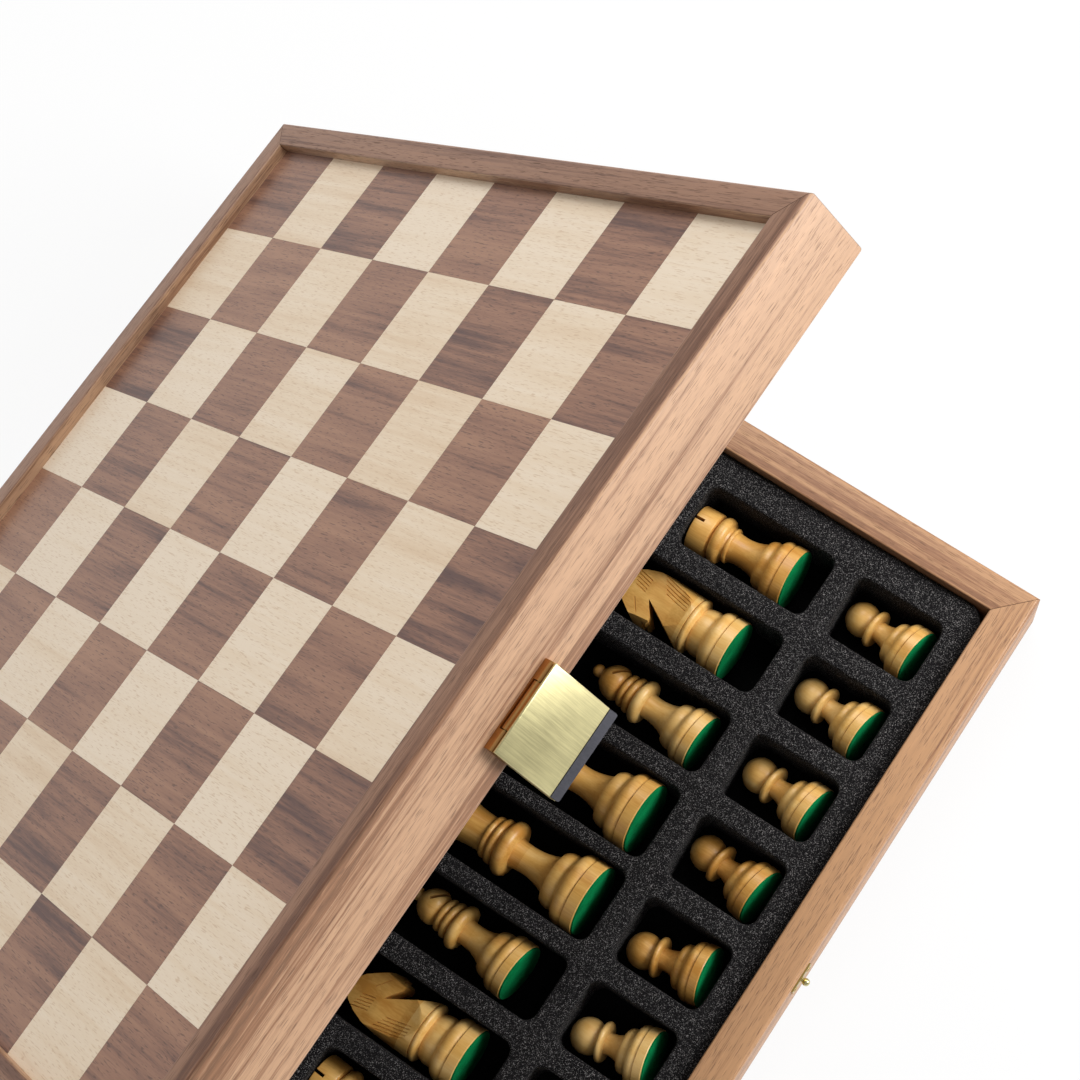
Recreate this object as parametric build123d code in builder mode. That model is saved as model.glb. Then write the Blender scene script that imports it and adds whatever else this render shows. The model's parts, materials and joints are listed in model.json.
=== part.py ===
from build123d import *
from math import asin, atan, cos, degrees, radians, sin
import os

# Chess box: a square base with a foam tray of chess pieces, under a hinged lid whose top is the board.
# Millimetres and degrees. The origin is the centre of the base's underside, +X to the right, -Y to the
# front, where the latch is, and +Z up. The lid stands open by lid_angle, as it does at rest.

# Board and lid
squares_per_side = 8
square_size = 45.0
square_joint = 0.06  # glue line between two veneer squares
veneer = 1.0
board_core = 5.0
board_recess = 5.0  # the squares lie this far below the top of the rim
board_clearance = 0.1
rim_width = 12.0
lid_wall = 16.0
lid_height = 31.0
lining = 1.2
lining_margin = 1.0

# Base
base_wall = 16.0
base_height = 40.0
bottom_panel = 4.0
panel_rebate = 6.0
panel_clearance = 0.2
edge_round = 1.5
inner_round = 0.8
joint_gap = 0.4  # between the closed lid and the base

# Hinges
lid_angle = 41.15
hinge_setback = 2.4  # from the back faces to the hinge axis
hinge_spacing = 220.0
hinge_knuckles = 5
leaf_length = 40.0
leaf_width = 11.0
leaf_thickness = 1.2
hinge_knuckle_radius = 2.1
hinge_pin_radius = 1.0
knuckle_gap = 0.3  # between neighbouring knuckles
turning_fit = 0.05  # radial, pin to turning knuckle
seat_fit = 0.02  # radial, pin to the knuckles that hold it
mortise_clearance = 0.1
hinge_screw_radius = 1.2
hinge_screw_head = 2.2
hinge_screw_length = 10.0
hinge_screw_inset = 4.5  # from the leaf's inner edge
hinge_screw_pitch = 13.0
screw_fit = 0.05

# Latch on the lid's front face
latch_width = 34.0
latch_plate = 0.8
latch_plate_foot = 1.5  # lower edge of the back plate, above the lid's underside
latch_axis_height = 10.5
latch_knuckle_radius = 1.5
latch_knuckle_gap = 0.1  # behind the knuckles, to the back plate
latch_pin_radius = 0.7
latch_side_knuckle = 7.6
latch_screw_height = 4.5
latch_screw_offset = 11.0
flap_sheet = 0.8
flap_inner_gap = 0.9  # between the knuckles and the flap's sheet
flap_above_axis = 0.9
flap_face = 16.5  # from the lid's underside down to the end of the flap's flat face
flap_lip = 3.0  # the finger lip carries on below the face
flap_lip_rise = 1.2
flap_rim_gap = 0.3  # between the flap's rim and the strike's screw heads
flap_corner = 1.0
stud_notch = 5.8
clip_leg = 0.7
clip_height = 6.0
clip_foot = 4.0
clip_foot_sheet = 0.5
clip_clearance = 0.35
clip_end_gap = 1.8  # from the clip's end to the lid's face

# Strike on the base's front face
strike_width = 14.0
strike_length = 9.5
strike_sheet = 0.8
strike_top = 3.5  # from the base's top down to the strike's upper edge
stud_drop = 9.0  # from the base's top down to the ball's centre
stud_ball_radius = 1.7
stud_neck_radius = 1.0
stud_gap = 0.3  # between the ball and the closed flap's sheet
stud_shank = 7.0
strike_screw_offset = 4.9
small_screw_radius = 0.7
small_screw_head = 1.4
small_screw_dome = 0.4
small_screw_length = 6.0

# Foam tray
tray_drop = 5.0  # from the base's top down to the foam
tray_clearance = 0.5
tray_corner = 8.0
tray_edge = 1.5
floor_liner = 2.0
pocket_pitch = 41.5
pocket_corner = 5.0
pocket_side_gap = 0.6  # on each side of the piece's base
front_margin = 12.2
row_rib = 11.5
pocket_spare = {"pawn": 4.5, "rook": 14.0, "knight": 20.0, "bishop": 19.3, "queen": 13.5, "king": 14.0}
piece_clearance = 0.35  # between a lying piece and the floor liner

# Chess pieces: radii, and heights measured from the underside of the felt. A ring has its own lower and
# upper edge, and the last height of each piece is its top.
pawn = {
    "base": 13.7,
    "plinth_top": 5.0,
    "bead_top": 9.6,
    "step": 10.0,
    "step_top": 14.6,
    "foot": 6.9,
    "waist": 4.7,
    "collar": 9.1,
    "collar_low": 22.6,
    "collar_top": 25.4,
    "neck": 5.5,
    "head": 8.1,
    "top": 39.5,
}
rook = {
    "base": 14.8,
    "plinth_top": 6.0,
    "bead_top": 11.5,
    "step": 11.6,
    "step_top": 17.2,
    "foot": 9.2,
    "waist": 7.2,
    "collar": 8.6,
    "collar_low": 32.4,
    "collar_top": 34.4,
    "ring": 11.4,
    "ring_low": 35.6,
    "ring_top": 41.6,
    "head": 10.9,
    "head_low": 42.4,
    "top": 52.0,
    "slot": 1.8,
    "slot_depth": 4.2,
    "cup": 7.0,
    "cup_depth": 3.0,
}
knight = {
    "base": 14.6,
    "plinth_top": 6.0,
    "bead_top": 12.0,
    "step": 11.4,
    "step_top": 20.0,
    "collar": 13.6,
    "collar_low": 20.6,
    "collar_top": 23.4,
    "neck": 10.5,
    "neck_low": 24.0,
    "head_thickness": 16.0,
    "head_round": 0.9,
    "top": 64.0,
}
bishop = {
    "base": 13.7,
    "plinth_top": 5.2,
    "bead_top": 10.0,
    "step": 11.0,
    "step_top": 16.4,
    "foot": 8.7,
    "waist": 5.9,
    "collar": 10.7,
    "collar_low": 30.6,
    "collar_top": 35.8,
    "ring": 8.9,
    "ring_low": 36.4,
    "ring_top": 40.0,
    "upper_ring": 8.1,
    "upper_ring_low": 40.4,
    "upper_ring_top": 43.6,
    "neck": 5.6,
    "neck_low": 44.2,
    "head": 8.2,
    "head_middle": 48.4,
    "tip": 2.2,
    "tip_low": 56.1,
    "finial": 3.0,
    "cut": 1.3,
    "cut_height": 50.5,
    "top": 61.2,
}
queen = {
    "base": 16.8,
    "plinth_top": 6.3,
    "bead_top": 12.6,
    "step": 13.2,
    "step_top": 19.8,
    "foot": 9.8,
    "waist": 6.9,
    "collar": 12.7,
    "collar_low": 39.6,
    "collar_top": 46.0,
    "ring": 10.9,
    "ring_low": 46.6,
    "ring_top": 50.2,
    "upper_ring": 9.9,
    "upper_ring_low": 50.6,
    "upper_ring_top": 53.8,
    "neck": 7.2,
    "neck_low": 54.4,
    "crown": 9.8,
    "crown_top": 67.0,
    "hollow": 0.9,
    "lip": 8.2,
    "dome": 3.0,
    "dome_top": 69.6,
    "dome_rise": 0.6,
    "pearl": 2.9,
    "pearl_neck": 2.2,
    "notch": 2.0,
    "notch_depth": 1.6,
    "top": 74.5,
}
king = {
    "base": 16.8,
    "plinth_top": 6.5,
    "bead_top": 13.0,
    "step": 13.2,
    "step_top": 20.4,
    "foot": 9.8,
    "waist": 6.9,
    "collar": 13.1,
    "collar_low": 40.8,
    "collar_top": 47.6,
    "ring": 11.1,
    "ring_low": 48.2,
    "ring_top": 51.8,
    "upper_ring": 10.1,
    "upper_ring_low": 52.2,
    "upper_ring_top": 55.4,
    "neck": 8.4,
    "neck_low": 56.0,
    "crown": 10.2,
    "crown_top": 71.0,
    "hollow": 0.5,
    "lip": 8.6,
    "dome": 2.4,
    "dome_top": 75.4,
    "dome_rise": 1.0,
    "cross": 7.4,
    "cross_bar": 2.6,
    "top": 84.0,
}
felt_sheet = 0.8
felt_inset = 0.5
groove_depth = 0.5
groove_height = 0.7
step_round = 1.2
rook_slots = 3  # each cuts right across the head
bishop_cut_angle = 38.0
crown_notches = 9
stem_hollow = 0.09  # how far a stem curves in, as a share of its height
ring_fullness = 0.96  # a ring's edge, as a share of a half round
bead_fullness = 6  # the height of a curve over how far it swells
cove_fullness = 5
mitre_fullness = 5

# How each piece happens to lie, for the columns from right to left: its sideways lean in degrees, and
# how far it has slid towards its head end, as a share of the pocket's spare length. The dark set lies
# the same way in the other half. A leaning piece turns about a point near its felt.
pawn_lean = (7, 7, 6, 8, -10, -12, -8, 6)
rank_lean = (-2, 1, 3.5, -1, -0.8, 4, -1, 2)
pawn_slide = (0.84, 0.89, 0.84, 0.93, 0.93, 0.97, 0.89, 0.84)
rank_slide = (0.91, 0.87, 0.35, 0.63, 0.54, 0.89, 0.7, 0.91)
lean_share = 0.15

# Worked out from the above
board_side = squares_per_side * square_size
half_side = board_side / 2 + rim_width
base_inside = half_side - base_wall
lid_inside = half_side - lid_wall
board_underside = lid_height - board_recess - veneer - board_core
floor_height = bottom_panel + floor_liner
foam_top = base_height - tray_drop
hinge_y = half_side + hinge_setback
hinge_z = base_height + joint_gap / 2
knuckle_pitch = leaf_length / hinge_knuckles
hinge_places = (-hinge_spacing / 2, hinge_spacing / 2)
hinge_screw_y = half_side - leaf_width + hinge_screw_inset
hinge_screw_steps = (-hinge_screw_pitch, 0, hinge_screw_pitch)
latch_axis_out = latch_plate + latch_knuckle_gap + latch_knuckle_radius
flap_outside = latch_axis_out + latch_knuckle_radius + flap_inner_gap + flap_sheet
flap_top = latch_axis_height + flap_above_axis
flap_below_lid = flap_face + flap_lip
stud_out = flap_outside - flap_sheet - stud_gap - stud_ball_radius
strike_centre = base_height - strike_top - strike_length / 2
pieces = {"pawn": pawn, "rook": rook, "knight": knight, "bishop": bishop, "queen": queen, "king": king}
pocket_length = {kind: sizes["top"] + pocket_spare[kind] for kind, sizes in pieces.items()}
stud_height = base_height - stud_drop

across = Vector(1, 0, 0)
up = Vector(0, 0, 1)
turn = radians(lid_angle)
lid_origin = Vector(
    0,
    hinge_y - hinge_y * cos(turn) + joint_gap / 2 * sin(turn),
    hinge_z + hinge_y * sin(turn) + joint_gap / 2 * cos(turn),
)
lid_frame = Plane(origin=lid_origin, x_dir=across, z_dir=Vector(0, sin(turn), cos(turn)))


def on_base(plane):
    """A plane of the base, which stands where it is drawn."""
    return plane


def on_lid(plane):
    """A plane in the lid's own frame, centred on the lid's underside, carried to the open lid."""
    return Plane(lid_frame.location * plane.location)


def save(part, name):
    """Label one piece and write it out."""
    part.label = name
    export_step(part, f"parts/{name}.step")


os.makedirs("parts", exist_ok=True)

# Frame rails: four for the base and four for the lid, mitred at the corners
base_outline = (
    (base_inside, bottom_panel),
    (base_inside + panel_rebate, bottom_panel),
    (base_inside + panel_rebate, 0),
    (half_side, 0),
    (half_side, base_height),
    (base_inside, base_height),
)
lid_outline = (
    (lid_inside, 0),
    (half_side, 0),
    (half_side, lid_height),
    (half_side - rim_width, lid_height),
    (half_side - rim_width, board_underside),
    (lid_inside, board_underside),
)
outward_of = {
    "front": Vector(0, -1, 0),
    "back": Vector(0, 1, 0),
    "left": Vector(-1, 0, 0),
    "right": Vector(1, 0, 0),
}


def mitred_rail(outline, outward, place):
    """One side of a frame: a straight rail with both ends cut at 45 degrees."""
    run = outward.cross(up)
    with BuildPart() as rail:
        with BuildSketch(place(Plane(origin=(0, 0, 0), x_dir=outward, z_dir=run))) as section:
            with BuildLine():
                Polyline(*outline, close=True)
            make_face()
            fillet(section.vertices().group_by(Axis.X)[-1], radius=edge_round)
            fillet(section.vertices().group_by(Axis.Y)[-1].sort_by(Axis.X)[0], radius=inner_round)
        extrude(amount=half_side, both=True)
        for end in (run, run * -1):
            corner = (outward + end) * half_side
            split(bisect_by=place(Plane(origin=corner, z_dir=end - outward)), keep=Keep.BOTTOM)
    return rail.part


def leaf_seats(place, height, facing):
    """What the hinge leaves take out of a back rail: two shallow mortises and their screw holes."""
    with BuildPart() as seats:
        for x in hinge_places:
            with BuildSketch(place(Plane.XY.offset(height))):
                with Locations((x, half_side - leaf_width / 2)):
                    Rectangle(leaf_length + 2 * mortise_clearance, leaf_width + 2 * mortise_clearance)
            extrude(amount=-facing * leaf_thickness)
            with BuildSketch(place(Plane.XY.offset(height))):
                with Locations(*((x + step, hinge_screw_y) for step in hinge_screw_steps)):
                    Circle(hinge_screw_radius + screw_fit)
            extrude(amount=-facing * (hinge_screw_length + screw_fit))
    return seats.part


def small_holes(plane, places):
    """Pilot holes of small screws, drilled into a front face along the plane's normal."""
    with BuildPart() as holes:
        with BuildSketch(plane):
            with Locations(*places):
                Circle(small_screw_radius + screw_fit)
        extrude(amount=-small_screw_length - screw_fit)
    return holes.part


# Planes that lie on the front faces and look out of them: x to the right, y up
base_front_face = Plane(origin=(0, -half_side, 0), x_dir=across, z_dir=outward_of["front"])
lid_front_face = on_lid(base_front_face)
strike_screw_places = ((-strike_screw_offset, strike_centre), (strike_screw_offset, strike_centre))
latch_screw_places = ((-latch_screw_offset, latch_screw_height), (latch_screw_offset, latch_screw_height))

with BuildPart() as base_front_wall:
    add(mitred_rail(base_outline, outward_of["front"], on_base))
    add(small_holes(base_front_face, strike_screw_places), mode=Mode.SUBTRACT)
    with BuildSketch(base_front_face):
        with Locations((0, stud_height)):
            Circle(stud_neck_radius + screw_fit)
    extrude(amount=-stud_shank - screw_fit, mode=Mode.SUBTRACT)
save(base_front_wall.part, "base_front_wall")

with BuildPart() as base_back_wall:
    add(mitred_rail(base_outline, outward_of["back"], on_base))
    add(leaf_seats(on_base, base_height, 1), mode=Mode.SUBTRACT)
save(base_back_wall.part, "base_back_wall")

with BuildPart() as lid_front_rail:
    add(mitred_rail(lid_outline, outward_of["front"], on_lid))
    add(small_holes(lid_front_face, latch_screw_places), mode=Mode.SUBTRACT)
save(lid_front_rail.part, "lid_front_rail")

with BuildPart() as lid_back_rail:
    add(mitred_rail(lid_outline, outward_of["back"], on_lid))
    add(leaf_seats(on_lid, 0, -1), mode=Mode.SUBTRACT)
save(lid_back_rail.part, "lid_back_rail")

for side in ("left", "right"):
    save(mitred_rail(base_outline, outward_of[side], on_base), f"base_{side}_wall")
    save(mitred_rail(lid_outline, outward_of[side], on_lid), f"lid_{side}_rail")

# Bottom panel in its rebate
with BuildPart() as base_bottom_panel:
    with BuildSketch():
        Rectangle(*[2 * (base_inside + panel_rebate - panel_clearance)] * 2)
    extrude(amount=bottom_panel)
save(base_bottom_panel.part, "base_bottom_panel")

# Board: a core panel let into the lid, with one veneer tile for each square
with BuildPart() as board_core_panel:
    with BuildSketch(on_lid(Plane.XY.offset(board_underside))):
        Rectangle(*[board_side - 2 * board_clearance] * 2)
    extrude(amount=board_core)
save(board_core_panel.part, "board_core_panel")


def board_squares(parity):
    """The veneer squares of one colour. Seen from above, the front-right corner square is light."""
    first = -(squares_per_side - 1) / 2 * square_size
    with BuildPart() as squares:
        with BuildSketch(on_lid(Plane.XY.offset(board_underside + board_core))):
            for column in range(squares_per_side):
                for row in range(squares_per_side):
                    if (column + row) % 2 == parity:
                        with Locations((first + column * square_size, first + row * square_size)):
                            Rectangle(*[square_size - square_joint] * 2)
        extrude(amount=veneer)
    return squares.part


save(board_squares(1), "light_squares")
save(board_squares(0), "dark_squares")

# Felt lining glued under the board panel
with BuildPart() as lid_lining:
    with BuildSketch(on_lid(Plane.XY.offset(board_underside))):
        Rectangle(*[2 * (lid_inside - lining_margin)] * 2)
    extrude(amount=-lining)
save(lid_lining.part, "lid_lining")


# Hinges: two leaves each, rolled round one pin
def hinge_leaves(place, height, facing, own_knuckles):
    """The leaves of both hinges on one side: the wood lies below them where facing is 1."""
    axis_height = height + facing * joint_gap / 2
    slab_middle = height - facing * leaf_thickness / 2
    fit = seat_fit if facing > 0 else turning_fit
    with BuildPart() as leaves:
        for x in hinge_places:
            with BuildSketch(place(Plane(origin=(x, half_side, 0), x_dir=(0, 1, 0), z_dir=across))):
                with Locations((-leaf_width / 2, slab_middle)):
                    Rectangle(leaf_width, leaf_thickness)
            extrude(amount=leaf_length / 2, both=True)
            for knuckle in own_knuckles:
                middle = x + (knuckle - (hinge_knuckles - 1) / 2) * knuckle_pitch
                side_view = Plane(origin=(middle, half_side, 0), x_dir=(0, 1, 0), z_dir=across)
                with BuildSketch(place(side_view)):
                    with Locations((hinge_setback / 2, slab_middle)):
                        Rectangle(hinge_setback, leaf_thickness)
                    with Locations((hinge_setback, axis_height)):
                        Circle(hinge_knuckle_radius)
                        Circle(hinge_pin_radius + fit, mode=Mode.SUBTRACT)
                extrude(amount=(knuckle_pitch - knuckle_gap) / 2, both=True)
            with BuildSketch(place(Plane.XY.offset(height))):
                with Locations(*((x + step, hinge_screw_y) for step in hinge_screw_steps)):
                    Circle(hinge_screw_head + screw_fit)
            extrude(
                amount=-facing * leaf_thickness,
                taper=degrees(atan((hinge_screw_head - hinge_screw_radius) / leaf_thickness)),
                mode=Mode.SUBTRACT,
            )
    return leaves.part


def hinge_screws(place, height, facing):
    """The countersunk screws of both hinges on one side, heads flush with the leaves."""
    with BuildPart() as screws:
        for x in hinge_places:
            with BuildSketch(place(Plane.XY.offset(height))):
                with Locations(*((x + step, hinge_screw_y) for step in hinge_screw_steps)):
                    Circle(hinge_screw_head)
            extrude(
                amount=-facing * leaf_thickness,
                taper=degrees(atan((hinge_screw_head - hinge_screw_radius) / leaf_thickness)),
            )
            with BuildSketch(place(Plane.XY.offset(height))):
                with Locations(*((x + step, hinge_screw_y) for step in hinge_screw_steps)):
                    Circle(hinge_screw_radius)
            extrude(amount=-facing * hinge_screw_length)
    return screws.part


base_knuckles = range(0, hinge_knuckles, 2)
lid_knuckles = range(1, hinge_knuckles, 2)
save(hinge_leaves(on_base, base_height, 1, base_knuckles), "hinge_base_leaves")
save(hinge_leaves(on_lid, 0, -1, lid_knuckles), "hinge_lid_leaves")
save(hinge_screws(on_base, base_height, 1), "hinge_base_screws")
save(hinge_screws(on_lid, 0, -1), "hinge_lid_screws")

with BuildPart() as hinge_pins:
    for x in hinge_places:
        with BuildSketch(Plane(origin=(x, hinge_y, hinge_z), x_dir=(0, 1, 0), z_dir=across)):
            Circle(hinge_pin_radius)
        extrude(amount=leaf_length / 2, both=True)
save(hinge_pins.part, "hinge_pins")


# Latch: side views look along the hinge line of the flap, x out of the lid's front face and y up
def latch_side_view(x):
    return on_lid(Plane(origin=(x, -half_side, 0), x_dir=outward_of["front"], z_dir=across * -1))


plate_top = latch_axis_height + latch_knuckle_radius
side_knuckle_middle = (latch_width - latch_side_knuckle) / 2
flap_knuckle = latch_width - 2 * (latch_side_knuckle + knuckle_gap)

with BuildPart() as latch_back_plate:
    with BuildSketch(latch_side_view(0)):
        with Locations((latch_plate / 2, (plate_top + latch_plate_foot) / 2)):
            Rectangle(latch_plate, plate_top - latch_plate_foot)
    extrude(amount=latch_width / 2, both=True)
    for middle in (-side_knuckle_middle, side_knuckle_middle):
        with BuildSketch(latch_side_view(middle)):
            with Locations((latch_axis_out / 2, plate_top - flap_sheet / 2)):
                Rectangle(latch_axis_out, flap_sheet)
            with Locations((latch_axis_out, latch_axis_height)):
                Circle(latch_knuckle_radius)
                Circle(latch_pin_radius + seat_fit, mode=Mode.SUBTRACT)
        extrude(amount=latch_side_knuckle / 2, both=True)
    with BuildSketch(lid_front_face):
        with Locations(*latch_screw_places):
            Circle(small_screw_radius + screw_fit)
    extrude(amount=latch_plate, mode=Mode.SUBTRACT)
save(latch_back_plate.part, "latch_back_plate")

with BuildPart() as latch_pin:
    with BuildSketch(latch_side_view(0)):
        with Locations((latch_axis_out, latch_axis_height)):
            Circle(latch_pin_radius)
    extrude(amount=latch_width / 2, both=True)
save(latch_pin.part, "latch_pin")

# The flap is a shallow pan, open towards the lid, with a notch below that lets the ball stud in. Its sheet
# runs up in front of the knuckles, and a lip below the flat face gives a finger hold.
flap_height = flap_top + flap_below_lid
flap_middle = (flap_top - flap_below_lid) / 2
flap_depth = flap_outside - strike_sheet - small_screw_dome - flap_rim_gap
flap_wall_top = latch_axis_height - latch_knuckle_radius - flap_sheet
bridge = flap_outside - flap_sheet - latch_axis_out  # from the knuckle's axis to the sheet
flap_front = on_lid(base_front_face.offset(flap_outside))
with BuildPart() as latch_flap:
    with BuildSketch(flap_front) as pan:
        with Locations((0, flap_middle)):
            Rectangle(latch_width, flap_height)
        fillet(pan.vertices().group_by(Axis.Y)[0], radius=flap_corner)
    extrude(amount=-flap_depth)
    with BuildSketch(flap_front.offset(-flap_sheet)):
        with Locations((0, flap_middle + flap_sheet)):
            Rectangle(latch_width - 2 * flap_sheet, flap_height)
        with Locations((0, -flap_below_lid)):
            Rectangle(stud_notch, 4 * flap_sheet)
    extrude(amount=-flap_depth, mode=Mode.SUBTRACT)
    with BuildSketch(latch_side_view(0)):
        with Locations((0, flap_wall_top)):
            Rectangle(flap_outside - flap_sheet, flap_height, align=(Align.MIN, Align.MIN))
    extrude(amount=latch_width, both=True, mode=Mode.SUBTRACT)
    with BuildSketch(latch_side_view(0)):
        with BuildLine():
            Polyline(
                (flap_outside - flap_sheet, -flap_face),
                (flap_outside, -flap_face),
                (flap_outside + flap_lip_rise, -flap_below_lid),
                (flap_outside - flap_sheet, -flap_below_lid),
                close=True,
            )
        make_face()
    extrude(amount=latch_width / 2 - flap_corner, both=True)
    with BuildSketch(latch_side_view(0)):
        with Locations((latch_axis_out, latch_axis_height)):
            Circle(latch_knuckle_radius)
            Rectangle(bridge, 2 * flap_above_axis, align=(Align.MIN, Align.CENTER))
    extrude(amount=flap_knuckle / 2, both=True)
    with BuildSketch(latch_side_view(0)):
        with Locations((latch_axis_out, latch_axis_height)):
            Circle(latch_pin_radius + turning_fit)
    extrude(amount=flap_knuckle / 2, both=True, mode=Mode.SUBTRACT)
save(latch_flap.part, "latch_flap")

# Two sprung legs inside the flap that grip the ball from left and right
clip_inner = stud_ball_radius + clip_clearance
clip_length = flap_outside - flap_sheet - clip_end_gap
with BuildPart() as latch_clip:
    for hand in (-1, 1):
        with BuildSketch(flap_front.offset(-flap_sheet)):
            with Locations((hand * (clip_inner + clip_foot / 2), -stud_drop - joint_gap)):
                Rectangle(clip_foot, clip_height)
        extrude(amount=-clip_foot_sheet)
        with BuildSketch(flap_front.offset(-flap_sheet)):
            with Locations((hand * (clip_inner + clip_leg / 2), -stud_drop - joint_gap)):
                Rectangle(clip_leg, clip_height)
        extrude(amount=-clip_length)
save(latch_clip.part, "latch_clip")


def domed_screws(face, places):
    """Small screws driven through a sheet: a shank along the face's normal and a domed head."""
    with BuildPart() as screws:
        with BuildSketch(face):
            with Locations(*places):
                Circle(small_screw_head)
        extrude(amount=small_screw_dome)
        fillet(screws.edges().group_by(Axis(face.origin, face.z_dir))[-1], radius=small_screw_dome / 2)
        with BuildSketch(face):
            with Locations(*places):
                Circle(small_screw_radius)
        extrude(amount=-small_screw_length)
    return screws.part


save(domed_screws(lid_front_face.offset(latch_plate), latch_screw_places), "latch_screws")

# Strike: a small plate with a ball stud
with BuildPart() as strike_plate:
    with BuildSketch(base_front_face):
        with Locations((0, strike_centre)):
            Rectangle(strike_width, strike_length)
        with Locations((0, stud_height)):
            Circle(stud_neck_radius + screw_fit, mode=Mode.SUBTRACT)
        with Locations(*strike_screw_places):
            Circle(small_screw_radius + screw_fit, mode=Mode.SUBTRACT)
    extrude(amount=strike_sheet)
save(strike_plate.part, "strike_plate")

with BuildPart() as strike_ball_stud:
    with BuildSketch(base_front_face):
        with Locations((0, stud_height)):
            Circle(stud_neck_radius)
    extrude(amount=stud_out)
    with BuildSketch(base_front_face):
        with Locations((0, stud_height)):
            Circle(stud_neck_radius)
    extrude(amount=-stud_shank)
    with Locations(Plane(origin=(0, -half_side - stud_out, stud_height), z_dir=outward_of["front"])):
        Sphere(stud_ball_radius)
save(strike_ball_stud.part, "strike_ball_stud")

save(domed_screws(base_front_face.offset(strike_sheet), strike_screw_places), "strike_screws")

# Chess pieces: where each kind lies. Columns run from right to left, rows from front to back
back_rank = ("rook", "knight", "bishop", "queen", "king", "bishop", "knight", "rook")
pawn_row_front = base_inside - front_margin
rank_row_front = pawn_row_front - pocket_length["pawn"] - row_rib


def column_x(column):
    """The middle of a column of pockets."""
    return ((len(back_rank) - 1) / 2 - column) * pocket_pitch


def pocket_size(kind):
    """Width and length of the pocket for one kind of piece."""
    widest = king if kind in ("queen", "king") else rook
    return (2 * (widest["base"] + pocket_side_gap), pocket_length[kind])


def pocket_places():
    """Every pocket: the kind it holds, its middle and the half of the tray it lies in."""
    for half in (-1, 1):
        for column, kind in enumerate(back_rank):
            rank_middle = rank_row_front - pocket_length[kind] / 2
            pawn_middle = pawn_row_front - pocket_length["pawn"] / 2
            yield kind, (column_x(column), half * rank_middle)
            yield "pawn", (column_x(column), half * pawn_middle)


# Foam tray with a pocket for every piece, on a thin liner
tray_side = 2 * (base_inside - tray_clearance)
with BuildPart() as foam_tray:
    with BuildSketch(Plane.XY.offset(floor_height)):
        RectangleRounded(tray_side, tray_side, tray_corner)
    extrude(amount=foam_top - floor_height)
    chamfer(foam_tray.faces().sort_by(Axis.Z)[-1].edges(), length=tray_edge)
    with BuildSketch(Plane.XY.offset(floor_height)):
        for kind, middle in pocket_places():
            with Locations(middle):
                RectangleRounded(*pocket_size(kind), pocket_corner)
    extrude(amount=foam_top - floor_height, mode=Mode.SUBTRACT)
save(foam_tray.part, "foam_tray")

with BuildPart() as tray_floor_liner:
    with BuildSketch(Plane.XY.offset(bottom_panel)):
        RectangleRounded(tray_side, tray_side, tray_corner)
    extrude(amount=floor_liner)
save(tray_floor_liner.part, "tray_floor_liner")


# Turned pieces are drawn as half outlines: stations of radius, height and bulge, outwards if positive
def foot(piece):
    """Plinth, groove, bead, cove and step, as every piece of the set has them."""
    cove = (piece["base"] - piece["step"]) / 2
    groove_radius = piece["base"] - groove_depth
    bead = piece["bead_top"] - piece["plinth_top"]
    return [
        (piece["base"], felt_sheet, 0),
        (piece["base"], piece["plinth_top"], 0),
        (groove_radius, piece["plinth_top"], 0),
        (groove_radius, piece["plinth_top"] + groove_height, 0),
        (piece["base"] - cove, piece["bead_top"], bead / bead_fullness),
        (piece["step"], piece["bead_top"] + cove, -cove / cove_fullness),
        (piece["step"] - step_round, piece["step_top"], step_round / 2),
    ]


def stem(piece):
    """The concave waist between the step and the collar."""
    low, top = piece["step_top"], piece["collar_low"]
    return [(piece["foot"], low, 0), (piece["waist"], top, -stem_hollow * (top - low))]


def ring(piece, name):
    """A turned ring with a half-round edge."""
    low, top = piece[name + "_low"], piece[name + "_top"]
    edge = (top - low) / 2
    return [(piece[name] - edge, low, 0), (piece[name] - edge, top, edge * ring_fullness)]


def ball(radius, top, neck):
    """A ball on a neck, up to its top."""
    low = top - radius - (radius**2 - neck**2) ** 0.5
    half_chord = ((top - low) ** 2 + neck**2) ** 0.5 / 2
    return [(neck, low, 0), (0, top, radius - (radius**2 - half_chord**2) ** 0.5)]


def mitre(piece):
    """The bishop's swelling head, up to the neck of its finial."""
    low, middle, top = piece["neck_low"], piece["head_middle"], piece["tip_low"]
    return [
        (piece["neck"], low, 0),
        (piece["head"], middle, (middle - low) / mitre_fullness),
        (piece["tip"], top, (top - middle) / mitre_fullness),
    ]


def crown(piece):
    """A flaring crown with a flat rim, and the low dome inside it."""
    return [
        (piece["neck"], piece["neck_low"], 0),
        (piece["crown"], piece["crown_top"], -piece["hollow"]),
        (piece["lip"], piece["crown_top"], 0),
        (piece["dome"], piece["dome_top"], piece["dome_rise"]),
    ]


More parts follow.
